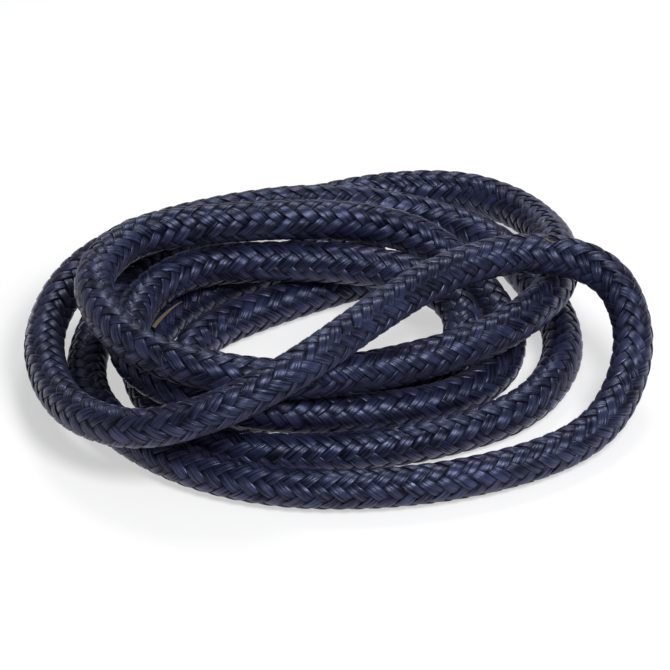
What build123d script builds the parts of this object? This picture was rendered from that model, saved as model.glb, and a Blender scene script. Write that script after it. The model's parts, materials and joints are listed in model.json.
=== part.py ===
"""Coiled dock line: 12 mm double-braid nylon laid down by hand in loose, flat turns.

The line is one rope, a braided cover over a core. It lies on its own turns: three
layers on a floor at Z = 0, in millimetres, +Z up, with the origin on the floor at
the middle of the coil's box.
"""

import math
import os

from build123d import *

# Driving dimensions
LINE_DIAMETER = 12.0
COVER_WALL = 1.7
COVER_TO_CORE_GAP = 0.1
WHIPPING_LENGTH = 7.0
WHIPPING_THICKNESS = 0.5
WHIPPING_GAP = 0.02
WHIPPING_FROM_END = 2.0
TIP_THICKNESS = 1.5
TIP_EDGE_RADIUS = 0.7
ARC_SHARE_OF_RUN = 0.45

LINE_RADIUS = LINE_DIAMETER / 2
COVER_BORE_RADIUS = LINE_RADIUS - COVER_WALL
CORE_RADIUS = COVER_BORE_RADIUS - COVER_TO_CORE_GAP
NECK_RADIUS = LINE_RADIUS - WHIPPING_THICKNESS

# Route of the line's axis, from its inner end to its outer end, one group of
# points per turn of the coil.
TURNS = {
    "first_turn": [
        (12, 51.5, 6), (-10, 47.5, 6), (-26, 33, 6), (-46, 20, 6), (-59, -7, 6), (-55, -36, 6),
        (-36, -62, 6), (-5, -64, 6), (28, -56.5, 6), (57, -38.5, 6), (68, -6, 6), (59.5, 28, 6),
        (45.5, 56, 6), (18, 65, 10), (-8, 58, 17),
    ],
    "crossing_turn": [
        (-35, 48.5, 18.6), (-59, 36, 19), (-78.5, 19.5, 15.3), (-87, -6, 11), (-84, -34, 11), (-75, -58, 15),
        (-57, -74, 20), (-34, -75, 28), (-11, -64, 36), (11, -34, 36), (32, -8, 35), (56, 6, 33),
        (79, 1, 30), (87, -16, 20),
    ],
    "outer_turn": [
        (84, -35, 11), (74, -54, 6), (52, -71, 6), (20, -82, 6), (-16, -83, 6), (-47, -70, 6),
        (-71, -42, 6), (-75, -11, 6), (-64, 28, 6), (-46, 55, 6), (-15, 71, 6), (13, 82, 6),
        (36, 83, 6), (52, 72, 7), (61, 53, 11), (65, 31, 17),
    ],
    "upper_turn": [
        (64, 3, 20), (44, -24, 20), (14, -41, 21), (-13, -54, 25), (-35, -59, 31), (-54, -50, 31),
        (-67, -33, 31), (-73, -9, 31), (-65, 11, 31), (-53, 20, 31), (-29, 25, 31), (4, 32.3, 27.2),
        (27, 36, 18.3), (42, 24, 8),
    ],
    "middle_turn": [
        (50, 3, 6), (47.5, -18.5, 6), (32.5, -35, 6), (8, -46.5, 9), (-17, -53, 13), (-36, -54, 18),
        (-52, -46, 19), (-62, -30, 19), (-61, -10, 18.7), (-55, 7, 18.7), (-43, 19, 18.7), (-24, 22.7, 18.5),
        (0, 22.3, 18.4), (22, 20, 16),
    ],
    "inner_turn": [
        (36, 9, 12), (37, -7, 8), (28, -21, 6), (10, -31, 6), (-9, -39, 6), (-29, -42, 6),
        (-42, -30, 6), (-45, -14, 6), (-40, 2, 6), (-24, 15, 6), (-4, 27.5, 6), (9, 34, 6),
        (22.5, 33, 6),
    ],
}


def arc_radii(points):
    """One radius for each corner of the route: as large as its two runs allow."""
    radii = []
    for before, corner, after in zip(points, points[1:], points[2:]):
        run_in = corner - before
        run_out = after - corner
        half_turn = math.radians(run_in.get_angle(run_out)) / 2
        shorter = min(run_in.length, run_out.length)
        radii.append(ARC_SHARE_OF_RUN * shorter / math.tan(half_turn))
    return radii


def turn_paths():
    """The corners and radii of each turn, cut from the route at the middle of a run."""
    route = [Vector(*point) for points in TURNS.values() for point in points]
    radii = arc_radii(route)
    print("route radii, mm:", [round(radius) for radius in radii])
    paths = {}
    first = 0
    for name, points in TURNS.items():
        last = first + len(points)
        corners = route[first:last]
        turn_radii = radii[max(first - 1, 0):last - 1]
        if first > 0:
            corners = [(route[first - 1] + route[first]) / 2] + corners
        if last < len(route):
            corners = corners + [(route[last - 1] + route[last]) / 2]
        paths[name] = (corners, turn_radii)
        first = last
    return paths


def end_plane(wire, at_start):
    """The plane of one end of the line, facing out of the rope."""
    position = 0 if at_start else 1
    outward = wire % position
    if at_start:
        outward = outward * -1
    return Plane(origin=wire @ position, z_dir=outward)


def export_piece(piece, name):
    """Labels one finished piece and writes its STEP file."""
    piece.part.label = name
    export_step(piece.part, f"parts/{name}.step")


os.makedirs("parts", exist_ok=True)
paths = turn_paths()
names = list(paths)
total_length = 0.0
line_ends = []

# Braided cover and core, one of each for every turn of the coil
for turn_name, (corners, radii) in paths.items():
    with BuildLine() as axis:
        FilletPolyline(*corners, radius=radii)
    turn_wire = axis.wires()[0]
    total_length += turn_wire.length
    section = Plane(origin=turn_wire @ 0, z_dir=turn_wire % 0)
    if turn_name == names[0]:
        line_ends.append(end_plane(turn_wire, at_start=True))
    if turn_name == names[-1]:
        line_ends.append(end_plane(turn_wire, at_start=False))

    with BuildPart() as cover:
        with BuildSketch(section):
            Circle(LINE_RADIUS)
            Circle(COVER_BORE_RADIUS, mode=Mode.SUBTRACT)
        sweep(path=turn_wire)
        if turn_name in (names[0], names[-1]):
            with BuildSketch(line_ends[-1].offset(-WHIPPING_FROM_END)):
                Circle(LINE_RADIUS + 1)
                Circle(NECK_RADIUS, mode=Mode.SUBTRACT)
            extrude(amount=-WHIPPING_LENGTH, mode=Mode.SUBTRACT)
    export_piece(cover, f"cover_{turn_name}")

    with BuildPart() as core:
        with BuildSketch(section):
            Circle(CORE_RADIUS)
        sweep(path=turn_wire)
    export_piece(core, f"core_{turn_name}")
    core_volume = math.pi * CORE_RADIUS**2 * turn_wire.length
    print(turn_name, "length", round(turn_wire.length), "core volume / section x length",
          round(core.part.volume / core_volume, 4))

print("line length, mm:", round(total_length))

# Twine whipping and melted tip at each end of the line
for end_name, plane in zip(("inner", "outer"), line_ends):
    with BuildPart() as whipping:
        with BuildSketch(plane.offset(-WHIPPING_FROM_END - WHIPPING_GAP)):
            Circle(LINE_RADIUS)
            Circle(NECK_RADIUS + WHIPPING_GAP, mode=Mode.SUBTRACT)
        extrude(amount=-WHIPPING_LENGTH + 2 * WHIPPING_GAP)
    export_piece(whipping, f"whipping_{end_name}_end")

    with BuildPart() as tip:
        with BuildSketch(plane):
            Circle(LINE_RADIUS)
        extrude(amount=TIP_THICKNESS)
        fillet(tip.faces().sort_by(Axis(plane.origin, plane.z_dir))[-1].edges(), TIP_EDGE_RADIUS)
    export_piece(tip, f"melted_tip_{end_name}_end")
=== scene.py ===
import json
import math

import bpy
import numpy as np
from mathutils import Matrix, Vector

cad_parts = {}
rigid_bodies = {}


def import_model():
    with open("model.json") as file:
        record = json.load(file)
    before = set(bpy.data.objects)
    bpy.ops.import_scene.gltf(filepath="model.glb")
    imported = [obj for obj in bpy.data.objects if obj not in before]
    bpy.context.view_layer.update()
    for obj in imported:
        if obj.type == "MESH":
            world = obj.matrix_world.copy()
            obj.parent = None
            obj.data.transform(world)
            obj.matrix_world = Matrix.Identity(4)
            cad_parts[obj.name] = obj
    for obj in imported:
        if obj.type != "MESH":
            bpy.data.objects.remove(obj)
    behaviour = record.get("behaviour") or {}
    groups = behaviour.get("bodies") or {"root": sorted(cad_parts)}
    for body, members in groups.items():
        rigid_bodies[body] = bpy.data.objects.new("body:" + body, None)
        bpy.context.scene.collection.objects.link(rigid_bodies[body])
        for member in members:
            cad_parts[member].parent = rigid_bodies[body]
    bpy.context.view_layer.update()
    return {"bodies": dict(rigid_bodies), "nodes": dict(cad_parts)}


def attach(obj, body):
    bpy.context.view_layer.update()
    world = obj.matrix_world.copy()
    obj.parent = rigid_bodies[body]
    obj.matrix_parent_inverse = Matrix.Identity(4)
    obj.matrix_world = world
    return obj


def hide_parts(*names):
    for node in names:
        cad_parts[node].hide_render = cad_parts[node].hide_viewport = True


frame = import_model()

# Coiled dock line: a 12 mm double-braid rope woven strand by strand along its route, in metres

MM = 0.001

# The line, as in the CAD model
LINE_DIAMETER = 12 * MM
LINE_RADIUS = LINE_DIAMETER / 2
WHIPPING_FROM_END = 2 * MM
WHIPPING_LENGTH = 7 * MM

# Route of the line's axis in millimetres, from its inner end to its outer end, turn by turn
ROUTE = [
    (12, 51.5, 6), (-10, 47.5, 6), (-26, 33, 6), (-46, 20, 6), (-59, -7, 6), (-55, -36, 6),
    (-36, -62, 6), (-5, -64, 6), (28, -56.5, 6), (57, -38.5, 6), (68, -6, 6), (59.5, 28, 6),
    (45.5, 56, 6), (18, 65, 10), (-8, 58, 17),
    (-35, 48.5, 18.6), (-59, 36, 19), (-78.5, 19.5, 15.3), (-87, -6, 11), (-84, -34, 11), (-75, -58, 15),
    (-57, -74, 20), (-34, -75, 28), (-11, -64, 36), (11, -34, 36), (32, -8, 35), (56, 6, 33),
    (79, 1, 30), (87, -16, 20),
    (84, -35, 11), (74, -54, 6), (52, -71, 6), (20, -82, 6), (-16, -83, 6), (-47, -70, 6),
    (-71, -42, 6), (-75, -11, 6), (-64, 28, 6), (-46, 55, 6), (-15, 71, 6), (13, 82, 6),
    (36, 83, 6), (52, 72, 7), (61, 53, 11), (65, 31, 17),
    (64, 3, 20), (44, -24, 20), (14, -41, 21), (-13, -54, 25), (-35, -59, 31), (-54, -50, 31),
    (-67, -33, 31), (-73, -9, 31), (-65, 11, 31), (-53, 20, 31), (-29, 25, 31), (4, 32.3, 27.2),
    (27, 36, 18.3), (42, 24, 8),
    (50, 3, 6), (47.5, -18.5, 6), (32.5, -35, 6), (8, -46.5, 9), (-17, -53, 13), (-36, -54, 18),
    (-52, -46, 19), (-62, -30, 19), (-61, -10, 18.7), (-55, 7, 18.7), (-43, 19, 18.7), (-24, 22.7, 18.5),
    (0, 22.3, 18.4), (22, 20, 16),
    (36, 9, 12), (37, -7, 8), (28, -21, 6), (10, -31, 6), (-9, -39, 6), (-29, -42, 6),
    (-42, -30, 6), (-45, -14, 6), (-40, 2, 6), (-24, 15, 6), (-4, 27.5, 6), (9, 34, 6),
    (22.5, 33, 6),
]

# The woven cover: sixteen flat strands, half of them turning each way, two over and two under
STRANDS_EACH_WAY = 8
LAY_LENGTH = 41 * MM
STRAND_HALF_WIDTH = 1.70 * MM
STRAND_HALF_THICKNESS = 0.41 * MM
WEAVE_RADIUS = 5.12 * MM
WEAVE_RISE = 0.45 * MM
WEAVE_SHARPNESS = 0.6
YARNS_PER_STRAND = 4
YARN_RIPPLE = 0.07 * MM
STRAND_STEP = 0.55 * MM
AXIS_STEP = STRAND_STEP / 2
SEED = 12

# Degrees round the line, repeating every quarter turn, at which a strand of each hand lies on top
STRAND_ON_TOP = {1: 11.25, -1: 56.25}
FLOATS_PER_TURN = 4
WIDTH_VARIATION = 0.05
RISE_VARIATION = 0.06

# A strand's section: points over its top, and where those under it lie, as shares of its half width
TOP_POINTS = 12
BOTTOM_POINTS = (0.6, 0.2, -0.2, -0.6)
DOME_EXPONENT = 5

# The core inside the cover
CORE_RADIUS = 4.4 * MM
CORE_STEP = 1.5 * MM
CORE_SIDES = 16

# Twine whipping near each end: turns of round twine, which draw the cover in
TWINE_RADIUS = 0.42 * MM
TWINE_TURNS = 8
TWINE_COIL_RADIUS = 5.5 * MM
TWINE_STEPS_PER_TURN = 40
TWINE_SIDES = 10
NECK_FACTOR = 0.84
NECK_FACTOR_AT_TIP = 0.86
NECK_LENGTH = 3 * MM

# Melted tips: distance past the cut end and radius in mm
TIP_PROFILE = [
    (-1.2, 4.9), (-0.7, 5.35), (-0.2, 5.5), (0.3, 5.45), (0.8, 5.2), (1.15, 4.5), (1.4, 3.0), (1.5, 0.8),
]
TIP_SIDES = 48

# Short fuzz all along the line: its count, and its reach along the line, height and radius in mm
FUZZ_COUNT = 420
FUZZ_REACH = (0.8, 2.6)
FUZZ_HEIGHT = (0.12, 0.4)
FUZZ_RADIUS = (0.02, 0.03)
FILAMENT_RADIUS = 0.055 * MM
FILAMENT_SIDES = 5

# Loose filaments: distance along the line in mm, angle round it in degrees, height in mm
LOOSE_FILAMENTS = [
    [(617.5, -36, 0.0), (617, -52, 0.9), (618.5, -62, 1.8), (620.5, -66, 2.2), (622.5, -60, 1.8),
     (624, -48, 0.9), (624, -34, 0.0)],
    [(1404, -66, 0.0), (1403.5, -84, 0.7), (1402, -108, 0.9), (1400, -124, 0.7), (1397, -132, 0.0)],
    [(612, -40, 0.0), (612, -24, 0.5), (612.5, -8, 0.6), (614, 8, 0.0)],
    [(614, -44, 0.0), (613.5, -38, 0.7), (614.5, -32, 0.8), (615.2, -38, 0.5), (614.4, -43, 0.0)],
    [(620.6, -30, 0.0), (620.2, -22, 0.7), (621.5, -17, 0.8), (622, -24, 0.4), (621, -30, 0.0)],
]

# Tan threads caught under the cover, as ribbons: distance, angle and width in mm
TAN_THREADS = [
    [(91, -108, 1.3), (87, -111, 1.3), (82, -114, 1.0), (77, -117, 0.6), (73, -121, 0.2)],
    [(740.4, -44, 0.2), (741.2, -40, 0.55), (742.2, -35, 0.5), (743, -30, 0.15)],
]
TAN_SIDES = 8
TAN_HALF_THICKNESS = 0.14 * MM
TAN_RAISED_BY = 0.06 * MM

# Colours of the nylon: painted shade for the hollows between strands, and from dark to light along a
# strand
NYLON_PAINTED_SHADE = (0.0022, 0.0022, 0.0046, 1)
NYLON_DARK = (0.0014, 0.0018, 0.0062, 1)
NYLON_LIGHT = (0.019, 0.023, 0.062, 1)

# Its streaks: how fast they change across a strand, by its half width, and along it, by the mm
STREAK_SCALE = (2.8, 0.10)
FINE_STREAK_SCALE = (8.0, 0.22)

# Room: lights are place and size in metres and power in watts, all aimed at the frame's origin
FLOOR_HALF = 4.0
FLOOR_COLOUR = (0.42, 0.42, 0.425, 1)
FLOOR_GLOW = 0.54
WORLD_COLOUR = (0.95, 0.97, 1.0, 1)
WORLD_STRENGTH = 0.26
LIGHTS = {
    "key": ((0.50, -0.72, 1.1), 0.6, 18),
    "back": ((0.10, 0.9, 1.1), 0.5, 7),
}


# ---------------------------------------------------------------- camera
CAMERA_ELEVATION = math.radians(32)
CAMERA_DISTANCE = 7.0
FRAME_WIDTH = 0.1954
SENSOR_WIDTH = 36.0
AIM_POINT = Vector((-0.0010, -0.020, 0.0196))


def make_camera():
    data = bpy.data.cameras.new("camera")
    data.sensor_width = SENSOR_WIDTH
    data.lens = SENSOR_WIDTH * CAMERA_DISTANCE / FRAME_WIDTH
    camera = bpy.data.objects.new("camera", data)
    back = Vector((0, -math.cos(CAMERA_ELEVATION), math.sin(CAMERA_ELEVATION)))
    camera.location = AIM_POINT + back * CAMERA_DISTANCE
    camera.rotation_euler = back.to_track_quat("Z", "Y").to_euler()
    bpy.context.scene.collection.objects.link(camera)
    bpy.context.scene.camera = camera


# ---------------------------------------------------------------- route
def route_points():
    """Points read from the NURBS spline that has the route as its control points."""
    data = bpy.data.curves.new("route", "CURVE")
    data.dimensions = "3D"
    data.resolution_u = 24
    spline = data.splines.new("NURBS")
    spline.points.add(len(ROUTE) - 1)
    for point, place in zip(spline.points, ROUTE):
        point.co = (place[0] * MM, place[1] * MM, place[2] * MM, 1)
    spline.order_u = 3
    spline.use_endpoint_u = True
    curve = bpy.data.objects.new("route", data)
    bpy.context.scene.collection.objects.link(curve)
    bpy.context.view_layer.update()
    mesh = bpy.data.meshes.new_from_object(curve)
    points = np.empty(len(mesh.vertices) * 3)
    mesh.vertices.foreach_get("co", points)
    bpy.data.objects.remove(curve)
    bpy.data.curves.remove(data)
    bpy.data.meshes.remove(mesh)
    return points.reshape(-1, 3)


def unit(vectors):
    return vectors / np.linalg.norm(vectors, axis=-1, keepdims=True)


def angles_round(count):
    """Evenly spaced angles round a circle, in radians."""
    return np.linspace(0, 2 * math.pi, count + 1)[:-1]


class Axis:
    """The line's axis: places and a frame that doesn't twist, by distance from the inner end."""

    def __init__(self, points, step):
        gaps = np.linalg.norm(np.diff(points, axis=0), axis=1)
        along = np.concatenate([[0], np.cumsum(gaps)])
        self.length = along[-1]
        self.at = np.linspace(0, self.length, int(self.length / step) + 1)
        self.place = np.stack([np.interp(self.at, along, points[:, k]) for k in range(3)], 1)
        self.tangent = unit(np.gradient(self.place, axis=0))
        self.normal = self.untwisted_normals()
        self.binormal = np.cross(self.tangent, self.normal)

    def untwisted_normals(self):
        normals = np.empty_like(self.tangent)
        normal = np.cross(self.tangent[0], (0, 0, 1))
        for i, tangent in enumerate(self.tangent):
            normal = normal - tangent * normal.dot(tangent)
            normal = normal / np.linalg.norm(normal)
            normals[i] = normal
        return normals

    def point(self, distance, angle, radius):
        """Points at these distances along the line, angles round it and radii from its axis."""
        inside = np.clip(distance, 0, self.length)
        beyond = (distance - inside)[..., None]
        values = []
        for source in (self.place, self.tangent, self.normal, self.binormal):
            values.append(np.stack([np.interp(inside, self.at, source[:, k]) for k in range(3)], -1))
        place, tangent, normal, binormal = values
        outward = np.cos(angle)[..., None] * normal + np.sin(angle)[..., None] * binormal
        return place + tangent * beyond + outward * radius[..., None]


# ---------------------------------------------------------------- meshes
def mesh_object(name, points, faces, material, attributes=None):
    """A smooth mesh with values kept at its points: single numbers or vectors."""
    mesh = bpy.data.meshes.new(name)
    mesh.vertices.add(len(points))
    mesh.vertices.foreach_set("co", np.ascontiguousarray(points, dtype=np.float32).ravel())
    corners = np.concatenate([np.asarray(face) for face in faces])
    starts = np.concatenate([[0], np.cumsum([len(face) for face in faces])[:-1]])
    mesh.loops.add(len(corners))
    mesh.loops.foreach_set("vertex_index", corners.astype(np.int32))
    mesh.polygons.add(len(starts))
    mesh.polygons.foreach_set("loop_start", starts.astype(np.int32))
    for attribute, values in (attributes or {}).items():
        kind, field = ("FLOAT", "value") if values.ndim == 1 else ("FLOAT_VECTOR", "vector")
        layer = mesh.attributes.new(attribute, kind, "POINT")
        layer.data.foreach_set(field, np.ascontiguousarray(values, dtype=np.float32).ravel())
    mesh.update(calc_edges=True)
    mesh.validate()
    mesh.shade_smooth()
    mesh.materials.append(material)
    piece = bpy.data.objects.new(name, mesh)
    bpy.context.scene.collection.objects.link(piece)
    return piece


def tube_faces(rings, sides, first=0):
    """Quads between rings of points, and a fan of triangles closing each end."""
    ring = np.arange(rings - 1)[:, None] * sides
    side = np.arange(sides)[None, :]
    next_side = (side + 1) % sides
    quads = np.stack([ring + side, ring + next_side, ring + sides + next_side, ring + sides + side], -1)
    faces = (quads.reshape(-1, 4) + first).tolist()
    last = (rings - 1) * sides
    faces.append([first + k for k in reversed(range(sides))])
    faces.append([first + last + k for k in range(sides)])
    return faces


def end_factor(axis, distance):
    """1 along the line, falling under the whippings, where the twine draws the cover in."""
    from_end = np.minimum(distance, axis.length - distance)
    edge = WHIPPING_FROM_END + WHIPPING_LENGTH
    return np.interp(from_end, [0, WHIPPING_FROM_END, edge, edge + NECK_LENGTH],
                     [NECK_FACTOR_AT_TIP, NECK_FACTOR, NECK_FACTOR, 1])


def make_strand(name, axis, turn, start_angle, material, rng):
    """One flat plait of the cover, wound round the axis and over and under the others."""
    distance = np.arange(0, axis.length, STRAND_STEP)
    distance = np.append(distance, axis.length)
    angle = start_angle + turn * 2 * math.pi * distance / LAY_LENGTH
    middle = math.radians(STRAND_ON_TOP[turn])
    wave = np.cos(FLOATS_PER_TURN * (angle - middle))
    lift = np.tanh(WEAVE_SHARPNESS * wave) / math.tanh(WEAVE_SHARPNESS)

    float_number = distance / (LAY_LENGTH / FLOATS_PER_TURN)
    floats = int(float_number[-1]) + 2
    width_change = np.interp(float_number, np.arange(floats),
                             rng.uniform(-WIDTH_VARIATION, WIDTH_VARIATION, floats))
    rise_change = np.interp(float_number, np.arange(floats),
                            rng.uniform(-RISE_VARIATION, RISE_VARIATION, floats))
    half_width = STRAND_HALF_WIDTH * (1 + 0.03 * lift + width_change)
    radius = WEAVE_RADIUS + WEAVE_RISE * (lift + rise_change)
    squeeze = end_factor(axis, distance)

    top = np.linspace(-1, 1, TOP_POINTS)
    bottom = np.array(BOTTOM_POINTS)
    across = np.concatenate([top, bottom])
    dome = np.sqrt(np.clip(1 - np.abs(top) ** DOME_EXPONENT, 0, 1))
    ripple = np.abs(np.sin(math.pi * (top + 1) / 2 * YARNS_PER_STRAND)) - 0.5
    height = np.concatenate([dome * STRAND_HALF_THICKNESS + ripple * YARN_RIPPLE * (dome > 0.1),
                             -0.8 * np.sqrt(1 - bottom ** 2) * STRAND_HALF_THICKNESS])

    pitch = math.atan2(2 * math.pi * WEAVE_RADIUS, LAY_LENGTH)
    offset = across[None, :] * half_width[:, None]
    ring_distance = distance[:, None] - turn * offset * math.sin(pitch)
    ring_angle = angle[:, None] + offset * math.cos(pitch) / WEAVE_RADIUS
    ring_radius = (radius[:, None] + height[None, :]) * squeeze[:, None]
    ends = np.clip(ring_distance, 0, axis.length)
    points = axis.point(ends, ring_angle, ring_radius)
    side_way = unit(points[:, TOP_POINTS - 1] - points[:, 0])
    if turn > 0:
        points = points[:, ::-1]
        across = across[::-1]

    sides = len(across)
    float_index = np.floor(FLOATS_PER_TURN * (angle - middle) / (2 * math.pi) + 0.5)
    attributes = {
        "across": np.tile(across, len(distance)),
        "along": np.repeat(distance / MM, sides),
        "lift": np.repeat(lift, sides),
        "float_number": np.repeat(float_index, sides),
        "strand": np.full(len(distance) * sides, start_angle + 10 * turn),
        "side_way": np.repeat(side_way, sides, axis=0),
    }
    faces = tube_faces(len(distance), sides)
    return mesh_object(name, points.reshape(-1, 3), faces, material, attributes)


def make_core(axis, material):
    """The braided core, which fills the cover."""
    distance = np.linspace(0, axis.length, int(axis.length / CORE_STEP))
    radius = CORE_RADIUS * end_factor(axis, distance)
    grid_distance, grid_angle = np.meshgrid(distance, angles_round(CORE_SIDES), indexing="ij")
    points = axis.point(grid_distance, grid_angle, np.repeat(radius[:, None], CORE_SIDES, 1))
    faces = tube_faces(len(distance), CORE_SIDES)
    return mesh_object("core", points.reshape(-1, 3), faces, material)


def smooth_path(points, count):
    """A quadratic B-spline through the middles of the runs between these points."""
    points = np.asarray(points, dtype=float)
    ends = np.vstack([2 * points[0] - points[1], points, 2 * points[-1] - points[-2]])
    spans = len(ends) - 2
    place = np.linspace(0.5, spans - 0.5, count)
    span = np.minimum(place.astype(int), spans - 1)
    part = (place - span)[:, None]
    before = 0.5 * (1 - part) ** 2
    after = 0.5 * part ** 2
    return before * ends[span] + (1 - before - after) * ends[span + 1] + after * ends[span + 2]


def tube_points(path, radius, sides):
    """Rings of points round a free path."""
    tangent = unit(np.gradient(path, axis=0))
    side = unit(np.cross(tangent, (0.31, 0.17, 0.94)))
    over = np.cross(tangent, side)
    angle = angles_round(sides)
    around = np.cos(angle)[None, :, None] * side[:, None] + np.sin(angle)[None, :, None] * over[:, None]
    return path[:, None] + around * np.broadcast_to(radius, len(path))[:, None, None]


def make_loose_filaments(axis, material, rng):
    """Fine filaments pulled out of the cover: the larger loops as listed, and short fuzz all along."""
    paths = []
    for points in LOOSE_FILAMENTS:
        distance, angle, height = smooth_path(points, 40).T
        paths.append((axis.point(distance * MM, np.radians(angle), LINE_RADIUS + (height - 0.12) * MM),
                      FILAMENT_RADIUS))
    for start in rng.uniform(5 * MM, axis.length - 5 * MM, FUZZ_COUNT):
        reach = rng.uniform(*FUZZ_REACH) * MM
        steps = np.linspace(0, 1, 9)
        distance = start + reach * steps * rng.choice((-1, 1))
        angle = rng.uniform(0, 2 * math.pi) + rng.uniform(-0.35, 0.35) * steps
        height = rng.uniform(*FUZZ_HEIGHT) * MM * np.sin(math.pi * steps) - 0.1 * MM
        paths.append((axis.point(distance, angle, LINE_RADIUS + height), rng.uniform(*FUZZ_RADIUS) * MM))
    points = []
    faces = []
    first = 0
    for path, radius in paths:
        rings = tube_points(path, radius, FILAMENT_SIDES)
        faces += tube_faces(len(path), FILAMENT_SIDES, first)
        points.append(rings.reshape(-1, 3))
        first += rings.shape[0] * rings.shape[1]
    return mesh_object("loose_filaments", np.vstack(points), faces, material)


def make_tan_threads(axis, material):
    """Thin flat tan threads lying between the strands of the cover."""
    points = []
    faces = []
    first = 0
    for thread in TAN_THREADS:
        distance, angle, width = smooth_path(thread, 30).T
        half_angle = width / 2 / (LINE_RADIUS / MM)
        sides = angles_round(TAN_SIDES)
        ring_angle = np.radians(angle)[:, None] + half_angle[:, None] * np.cos(sides)
        ring_radius = LINE_RADIUS + TAN_RAISED_BY + TAN_HALF_THICKNESS * np.sin(sides)[None, :]
        ring_distance = np.repeat(distance[:, None] * MM, TAN_SIDES, 1)
        rings = axis.point(ring_distance, ring_angle, ring_radius)
        faces += tube_faces(len(distance), TAN_SIDES, first)
        points.append(rings.reshape(-1, 3))
        first += len(distance) * TAN_SIDES
    return mesh_object("tan_threads", np.vstack(points), faces, material)


def make_whipping(name, axis, near_start, material):
    """Turns of round twine that bind the cover near one end."""
    steps = TWINE_TURNS * TWINE_STEPS_PER_TURN
    share = np.linspace(0, 1, steps)
    from_end = WHIPPING_FROM_END + TWINE_RADIUS + share * (WHIPPING_LENGTH - 2 * TWINE_RADIUS)
    distance = from_end if near_start else axis.length - from_end
    angle = share * TWINE_TURNS * 2 * math.pi
    path = axis.point(distance, angle, np.full(steps, TWINE_COIL_RADIUS))
    points = tube_points(path, TWINE_RADIUS, TWINE_SIDES)
    faces = tube_faces(steps, TWINE_SIDES)
    attributes = {"along": np.repeat(share * TWINE_TURNS * 36, TWINE_SIDES),
                  "around": np.tile(np.linspace(0, 1, TWINE_SIDES + 1)[:-1], steps)}
    return mesh_object(name, points.reshape(-1, 3), faces, material, attributes)


def make_tip(name, axis, near_start, material):
    """The melted end of the line: a lumpy cap of fused nylon."""
    outward, radius = np.array(TIP_PROFILE).T * MM
    angle = angles_round(TIP_SIDES)
    lumps = 1 + 0.018 * np.sin(3 * angle + 1) + 0.012 * np.sin(7 * angle) + 0.01 * np.sin(13 * angle + 2)
    distance = -outward if near_start else axis.length + outward
    grid_distance = np.repeat(distance[:, None], TIP_SIDES, 1)
    grid_angle = np.repeat(angle[None, :], len(outward), 0)
    points = axis.point(grid_distance, grid_angle, radius[:, None] * lumps[None, :])
    if near_start:
        points = points[:, ::-1]
    faces = tube_faces(len(outward), TIP_SIDES)
    return mesh_object(name, points.reshape(-1, 3), faces, material)


# ---------------------------------------------------------------- materials
def new_material(name):
    material = bpy.data.materials.new(name)
    material.use_nodes = True
    tree = material.node_tree
    return material, tree, tree.nodes["Principled BSDF"]


def node(tree, kind, inputs=None, **settings):
    made = tree.nodes.new(kind)
    for key, value in settings.items():
        setattr(made, key, value)
    for key, value in (inputs or {}).items():
        if hasattr(value, "is_output"):
            tree.links.new(value, made.inputs[key])
        else:
            made.inputs[key].default_value = value
    return made


def attribute(tree, name):
    return node(tree, "ShaderNodeAttribute", attribute_name=name).outputs["Fac"]


def maths(tree, operation, first, second=0.0):
    return node(tree, "ShaderNodeMath", {0: first, 1: second}, operation=operation).outputs[0]


def combine(tree, x, y, z):
    return node(tree, "ShaderNodeCombineXYZ", {"X": x, "Y": y, "Z": z}).outputs[0]


def noise(tree, place, scale, detail, roughness):
    made = node(tree, "ShaderNodeTexNoise", {
        "Vector": place, "Scale": scale, "Detail": detail, "Roughness": roughness,
    })
    return made.outputs["Fac"]


def map_range(tree, value, low, high, to_low, to_high):
    made = node(tree, "ShaderNodeMapRange", {
        "Value": value, "From Min": low, "From Max": high, "To Min": to_low, "To Max": to_high,
    })
    return made.outputs[0]


def ramp(tree, value, dark, light, low=0.0, high=1.0):
    """A colour between two, by a value between two."""
    made = node(tree, "ShaderNodeValToRGB", {"Fac": value})
    for element, position, colour in ((0, low, dark), (1, high, light)):
        made.color_ramp.elements[element].position = position
        made.color_ramp.elements[element].color = colour
    return made.outputs["Color"]


def add_bump(tree, shader, height, strength, distance):
    bump = node(tree, "ShaderNodeBump", {"Strength": strength, "Distance": distance, "Height": height})
    tree.links.new(bump.outputs["Normal"], shader.inputs["Normal"])


def mottled_material(name, scale, detail, roughness, dark, light):
    """A material mottled between two colours, and the mottle's own value."""
    material, tree, shader = new_material(name)
    place = node(tree, "ShaderNodeTexCoord").outputs["Object"]
    mottle = noise(tree, place, scale, detail, roughness)
    tree.links.new(ramp(tree, mottle, dark, light), shader.inputs["Base Color"])
    return material, tree, shader, mottle


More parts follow.
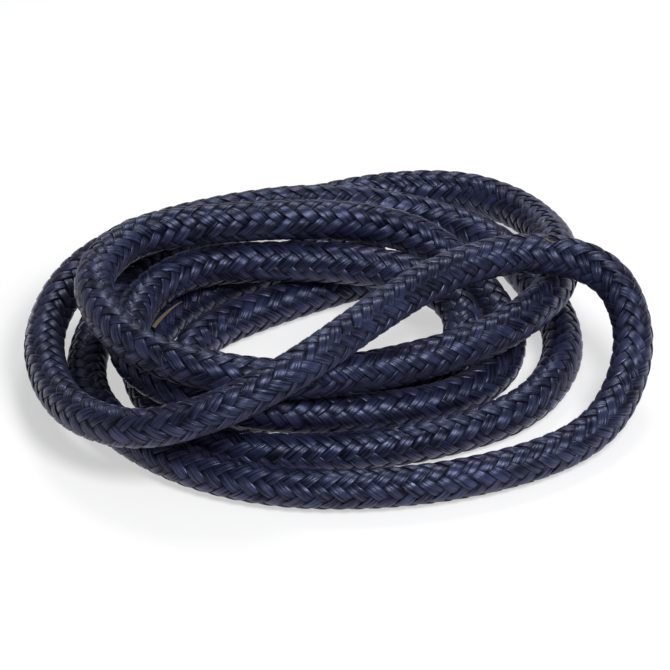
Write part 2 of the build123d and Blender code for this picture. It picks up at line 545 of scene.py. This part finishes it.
def nylon_material():
    """Navy filament nylon: streaks along each strand, painted shade where one strand dips under another
    and along each strand's edges.
    """
    material, tree, shader = new_material("navy_nylon")
    across = attribute(tree, "across")
    along = attribute(tree, "along")
    strand = attribute(tree, "strand")
    lift = attribute(tree, "lift")
    float_number = attribute(tree, "float_number")
    strand_seed = maths(tree, "ADD", maths(tree, "MULTIPLY", strand, 7.3), float_number)

    def streaks_at(scale, detail, roughness):
        place = combine(tree, maths(tree, "MULTIPLY", across, scale[0]),
                        maths(tree, "MULTIPLY", along, scale[1]), strand_seed)
        return noise(tree, place, 1.0, detail, roughness)

    streaks = streaks_at(STREAK_SCALE, 3.0, 0.62)
    fine = streaks_at(FINE_STREAK_SCALE, 2.0, 0.6)
    filaments = maths(tree, "ADD", maths(tree, "MULTIPLY", streaks, 0.62),
                      maths(tree, "MULTIPLY", fine, 0.38))

    patches = noise(tree, combine(tree, maths(tree, "MULTIPLY", along, 0.035), strand, 0.0), 1.0, 2.0, 0.5)
    one_float = node(tree, "ShaderNodeTexWhiteNoise", {"Vector": combine(tree, strand, float_number, 0.0)},
                     noise_dimensions="3D").outputs["Value"]
    tone = maths(tree, "ADD", maths(tree, "MULTIPLY", filaments, 0.72),
                 maths(tree, "ADD", maths(tree, "MULTIPLY", patches, 0.16),
                       maths(tree, "MULTIPLY", one_float, 0.12)))

    # Painted shade: the colour goes dark, and the gloss drops, where a strand dips under another and
    # towards its edges
    crest = map_range(tree, lift, -0.7, 0.8, 0.0, 1.0)
    middle = map_range(tree, maths(tree, "ABSOLUTE", across), 0.72, 1.0, 1.0, 0.5)
    clear_of_painted_shade = maths(tree, "MULTIPLY", crest, middle)
    colour = node(tree, "ShaderNodeMix", {
        "Factor": clear_of_painted_shade, "A": NYLON_PAINTED_SHADE, "B": ramp(tree, tone, NYLON_DARK, NYLON_LIGHT, 0.44, 0.58),
    }, data_type="RGBA")
    tree.links.new(colour.outputs["Result"], shader.inputs["Base Color"])

    tree.links.new(map_range(tree, filaments, 0.38, 0.62, 0.46, 0.28), shader.inputs["Roughness"])
    gloss = maths(tree, "MULTIPLY", clear_of_painted_shade, map_range(tree, filaments, 0.42, 0.58, 0.25, 1.25))
    tree.links.new(map_range(tree, gloss, 0.1, 0.9, 0.03, 0.80), shader.inputs["Specular IOR Level"])
    side_way = node(tree, "ShaderNodeAttribute", attribute_name="side_way").outputs["Vector"]
    tree.links.new(side_way, shader.inputs["Tangent"])
    shader.inputs["Anisotropic"].default_value = 0.7
    shader.inputs["Specular Tint"].default_value = (0.56, 0.62, 1.0, 1)
    add_bump(tree, shader, filaments, 1.0, 0.35 * MM)
    shader.inputs["Sheen Weight"].default_value = 0.06
    shader.inputs["Sheen Roughness"].default_value = 0.4
    shader.inputs["Sheen Tint"].default_value = (0.55, 0.6, 0.95, 1)
    return material


def core_material():
    material, _, shader, _ = mottled_material(
        "core_in_shadow", 900.0, 3.0, 0.5, (0.004, 0.004, 0.007, 1), (0.012, 0.013, 0.022, 1))
    shader.inputs["Roughness"].default_value = 0.8
    return material


def filament_material():
    material, _, shader, _ = mottled_material(
        "loose_nylon_filament", 700.0, 2.0, 0.5, (0.014, 0.014, 0.028, 1), (0.075, 0.075, 0.12, 1))
    shader.inputs["Roughness"].default_value = 0.4
    shader.inputs["Specular IOR Level"].default_value = 0.3
    return material


def tan_material():
    material, tree, shader, mottle = mottled_material(
        "tan_thread", 1600.0, 3.0, 0.6, (0.05, 0.035, 0.022, 1), (0.20, 0.15, 0.095, 1))
    add_bump(tree, shader, mottle, 0.5, 0.1 * MM)
    shader.inputs["Roughness"].default_value = 0.75
    return material


def twine_material():
    """Dark waxed twine, its own lay showing as slanting bands."""
    material, tree, shader = new_material("waxed_twine")
    place = combine(tree, maths(tree, "MULTIPLY", attribute(tree, "around"), 6.283),
                    maths(tree, "MULTIPLY", attribute(tree, "along"), 1.9), 0.0)
    lay = node(tree, "ShaderNodeTexWave", {"Vector": place, "Scale": 1.0, "Distortion": 0.6},
               bands_direction="DIAGONAL").outputs["Fac"]
    colour = ramp(tree, lay, (0.004, 0.004, 0.008, 1), (0.022, 0.023, 0.034, 1))
    tree.links.new(colour, shader.inputs["Base Color"])
    add_bump(tree, shader, lay, 0.6, 0.1 * MM)
    shader.inputs["Roughness"].default_value = 0.5
    return material


def tip_material():
    material, tree, shader, mottle = mottled_material(
        "fused_nylon", 1100.0, 3.0, 0.55, (0.005, 0.005, 0.009, 1), (0.03, 0.031, 0.048, 1))
    tree.links.new(map_range(tree, mottle, 0.3, 0.7, 0.18, 0.42), shader.inputs["Roughness"])
    add_bump(tree, shader, mottle, 0.5, 0.3 * MM)
    return material


# ---------------------------------------------------------------- room
def make_floor():
    material, tree, shader = new_material("pale_floor")
    shader.inputs["Base Color"].default_value = FLOOR_COLOUR
    shader.inputs["Roughness"].default_value = 0.95
    shader.inputs["Specular IOR Level"].default_value = 0.0
    shader.inputs["Emission Color"].default_value = (1, 1, 1, 1)
    shader.inputs["Emission Strength"].default_value = FLOOR_GLOW
    corners = ((-1, -1, 0), (1, -1, 0), (1, 1, 0), (-1, 1, 0))
    points = np.array(corners) * FLOOR_HALF
    floor = mesh_object("floor", points, [[0, 1, 2, 3]], material)


def area_light(name, place, size, power):
    data = bpy.data.lights.new(name, "AREA")
    data.shape = "DISK"
    data.size = size
    data.energy = power
    light = bpy.data.objects.new(name, data)
    light.visible_camera = False
    light.location = place
    light.rotation_euler = Vector(place).to_track_quat("Z", "Y").to_euler()
    bpy.context.scene.collection.objects.link(light)


def make_light():
    world = bpy.data.worlds.new("world")
    world.use_nodes = True
    background = world.node_tree.nodes["Background"]
    background.inputs["Color"].default_value = WORLD_COLOUR
    background.inputs["Strength"].default_value = WORLD_STRENGTH
    bpy.context.scene.world = world
    for name, (place, size, power) in LIGHTS.items():
        area_light(name, place, size, power)


# ---------------------------------------------------------------- the line
make_camera()
axis = Axis(route_points(), AXIS_STEP)
nylon = nylon_material()
core = make_core(axis, core_material())
rng = np.random.default_rng(SEED)
strands = []
for turn, hand in ((1, "right"), (-1, "left")):
    for i in range(STRANDS_EACH_WAY):
        strands.append(make_strand(f"cover_strand_{hand}_{i + 1}", axis, turn,
                                   2 * math.pi * i / STRANDS_EACH_WAY, nylon, rng))

twine = twine_material()
fused = tip_material()
whippings = [make_whipping("whipping_twine_inner", axis, True, twine),
             make_whipping("whipping_twine_outer", axis, False, twine)]
tips = [make_tip("fused_tip_inner", axis, True, fused), make_tip("fused_tip_outer", axis, False, fused)]
loose_filaments = make_loose_filaments(axis, filament_material(), rng)
tan_threads = make_tan_threads(axis, tan_material())

body = next(iter(frame["bodies"]))
on_line = [*strands, *whippings, *tips, loose_filaments, tan_threads]
for piece in [core, *on_line]:
    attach(piece, body)
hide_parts(*[name for name in frame["nodes"] if name.startswith("core_")])
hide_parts(*[name for name in frame["nodes"] if name.startswith("cover_")])
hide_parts("whipping_inner_end")
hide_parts("whipping_outer_end")
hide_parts("melted_tip_inner_end")
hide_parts("melted_tip_outer_end")

make_floor()
make_light()
bpy.context.scene.view_settings.view_transform = "Standard"
